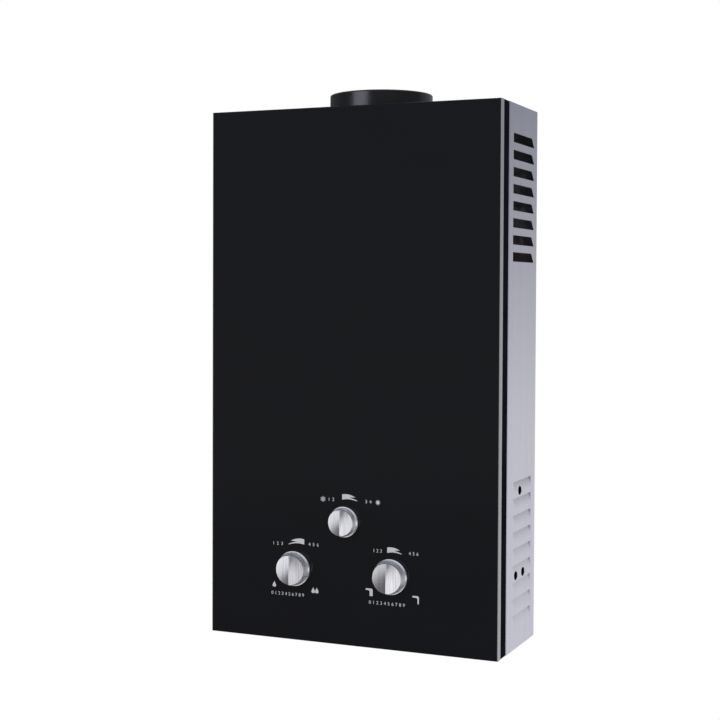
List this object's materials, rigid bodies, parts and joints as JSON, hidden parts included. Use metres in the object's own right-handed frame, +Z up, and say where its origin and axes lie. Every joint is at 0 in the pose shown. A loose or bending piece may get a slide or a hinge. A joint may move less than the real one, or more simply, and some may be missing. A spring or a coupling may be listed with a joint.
{
  "type": "gas water heater",
  "caption": "Wall-hung instantaneous gas water heater: black glass front, slotted steel sides, round flue collar, control knobs and pipe ends below.",
  "frame": {"origin": "foot of the wall plate, in the middle of its rear face, on the wall", "axes": "+Z up, +Y into the wall, +X to the right for someone who faces the heater"},
  "size_m": [0.34, 0.1511, 0.6223],
  "materials": {
    "brushed_stainless_steel": "brushed up and down",
    "galvanised_steel": "zinc coated, satin",
    "black_enamelled_steel": "gloss enamel",
    "black_glass": "toughened, enamelled black behind",
    "anodised_aluminium": "satin anodised",
    "foam_tape": "closed-cell foam",
    "copper": "copper, drawn and tinned at its joints",
    "brass": "forged and turned",
    "cast_aluminium": "die cast",
    "burner_steel": "pressed stainless, heat tinted",
    "steel_hardware": "zinc plated",
    "ceramic": "glazed ceramic",
    "silicone_rubber": "moulded silicone",
    "knob_plastic": "metallic paint on moulded ABS",
    "black_plastic": "moulded",
    "battery_wrap": "plain printed wrap"
  },
  "bodies": {
    "casing": {"back_plate": "galvanised_steel", "batteries": "battery_wrap", "battery_box": "black_plastic", "battery_contact": "steel_hardware", "battery_door_pin": "steel_hardware", "bottom_panel": "galvanised_steel", "burner_bars": "burner_steel", "burner_tray": "galvanised_steel", "case_screws": "steel_hardware", "cold_inlet": "brass", "cold_pipe": "copper", "diaphragm": "silicone_rubber", "diaphragm_cover": "cast_aluminium", "draft_hood": "galvanised_steel", "edge_trim_left": "anodised_aluminium", "edge_trim_right": "anodised_aluminium", "electrode_boots": "silicone_rubber", "electrode_bracket": "galvanised_steel", "flame_sensor": "ceramic", "flue_collar": "black_enamelled_steel", "flue_screws": "steel_hardware", "front_frame": "black_enamelled_steel", "gas_distributor": "cast_aluminium", "gas_inlet": "brass", "gas_manifold": "cast_aluminium", "gas_nozzles": "brass", "gas_solenoid": "steel_hardware", "gas_valve_body": "cast_aluminium", "glass_panel": "black_glass", "glass_tape": "foam_tape", "heat_exchanger_coil": "copper", "heat_exchanger_fins": "copper", "heat_exchanger_shell": "copper", "hot_outlet": "brass", "hot_pipe": "copper", "igniter_box": "black_plastic", "ignition_electrode": "ceramic", "ignition_lead": "silicone_rubber", "left_side_panel": "brushed_stainless_steel", "micro_switch": "black_plastic", "overheat_thermostat": "black_plastic", "pipe_locknuts": "brass", "pipe_unions": "brass", "right_side_panel": "brushed_stainless_steel", "switch_bracket": "galvanised_steel", "top_panel": "galvanised_steel", "valve_screws": "steel_hardware", "water_valve_body": "brass"},
    "season_control": {"knob_season": "knob_plastic", "spindle_season": "steel_hardware"},
    "fire_control": {"knob_fire": "knob_plastic", "spindle_fire": "steel_hardware"},
    "water_control": {"knob_water": "knob_plastic", "spindle_water": "steel_hardware"},
    "push_rod": {"push_rod": "steel_hardware"},
    "switch_lever": {"switch_lever": "steel_hardware"},
    "drain_plug": {"drain_plug": "brass"},
    "battery_door": {"battery_door": "black_plastic", "door_contact": "steel_hardware"}
  },
  "joints": [
    {"name": "season_knob_turn", "type": "hinge", "parent": "casing", "child": "season_control", "pos_m": [-0.006, -0.135, 0.136], "axis": [0, 1, 0], "range_deg": [-45, 45]},
    {"name": "fire_knob_turn", "type": "hinge", "parent": "casing", "child": "fire_control", "pos_m": [-0.066, -0.135, 0.08], "axis": [0, 1, 0], "range_deg": [-45, 45]},
    {"name": "water_knob_turn", "type": "hinge", "parent": "casing", "child": "water_control", "pos_m": [0.049, -0.135, 0.08], "axis": [0, 1, 0], "range_deg": [-45, 45]},
    {"name": "push_rod_slide", "type": "slide", "parent": "casing", "child": "push_rod", "axis": [-1, 0, 0], "range_m": [0, 0.004], "stiffness_N_per_m": 500},
    {"name": "switch_lever_swing", "type": "hinge", "parent": "casing", "child": "switch_lever", "pos_m": [-0.02655, -0.062, 0.091], "axis": [0, 1, 0], "range_deg": [0, 36.5]},
    {"name": "drain_plug_turn", "type": "hinge", "parent": "casing", "child": "drain_plug", "pos_m": [0.077, -0.062, 0], "axis": [0, 0, 1], "range_deg": [0, 720]},
    {"name": "battery_door_swing", "type": "hinge", "parent": "casing", "child": "battery_door", "pos_m": [0.1446, -0.0254, -0.0015], "axis": [1, 0, 0], "range_deg": [0, 95]}
  ],
  "couplings": [
    {"joint": "switch_lever_swing", "follows": "push_rod_slide", "rad_per_m": 157.08}
  ]
}
